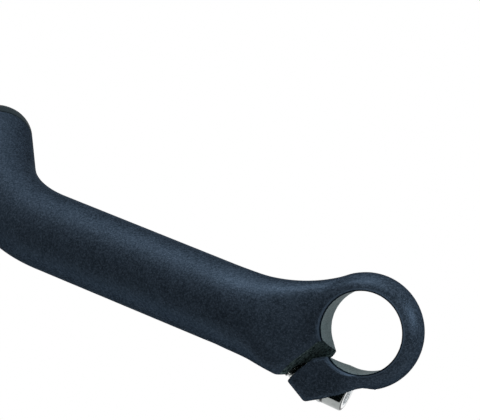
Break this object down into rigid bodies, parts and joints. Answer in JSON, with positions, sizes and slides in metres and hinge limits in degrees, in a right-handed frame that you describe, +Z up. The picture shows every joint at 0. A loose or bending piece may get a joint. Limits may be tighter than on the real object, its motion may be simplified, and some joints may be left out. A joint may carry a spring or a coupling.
{
  "type": "bicycle bar end",
  "caption": "Bent hollow bar end for a bicycle: a round grip bar that runs into a slotted clamp eye with an ear and a clamp bolt.",
  "frame": {"origin": "centre of the clamp's bore", "axes": "+Y inboard along the handlebar, -X forward, +Z up"},
  "size_m": [0.1544, 0.0826, 0.0809],
  "materials": {
    "body_paint": "satin black-navy powder coat on aluminium",
    "plug_plastic": "moulded, dark",
    "bolt_steel": "bright plated steel",
    "washer_steel": "zinc plated"
  },
  "bodies": {
    "bar_end": {"bar_end_body": "body_paint", "end_plug": "plug_plastic"},
    "washer": {"clamp_washer": "washer_steel"},
    "bolt": {"clamp_bolt": "bolt_steel"}
  },
  "joints": [
    {"name": "bolt_travel", "type": "slide", "parent": "bar_end", "child": "washer", "axis": [0.9026, 0, -0.4305], "range_m": [0, 0.01]},
    {"name": "bolt_turn", "type": "hinge", "parent": "washer", "child": "bolt", "pos_m": [-0.01145, 0, -0.01448], "axis": [0.9026, 0, -0.4305], "range_deg": [0, 3600]}
  ],
  "couplings": [
    {"joint": "bolt_turn", "follows": "bolt_travel", "rad_per_m": 6283.2}
  ]
}
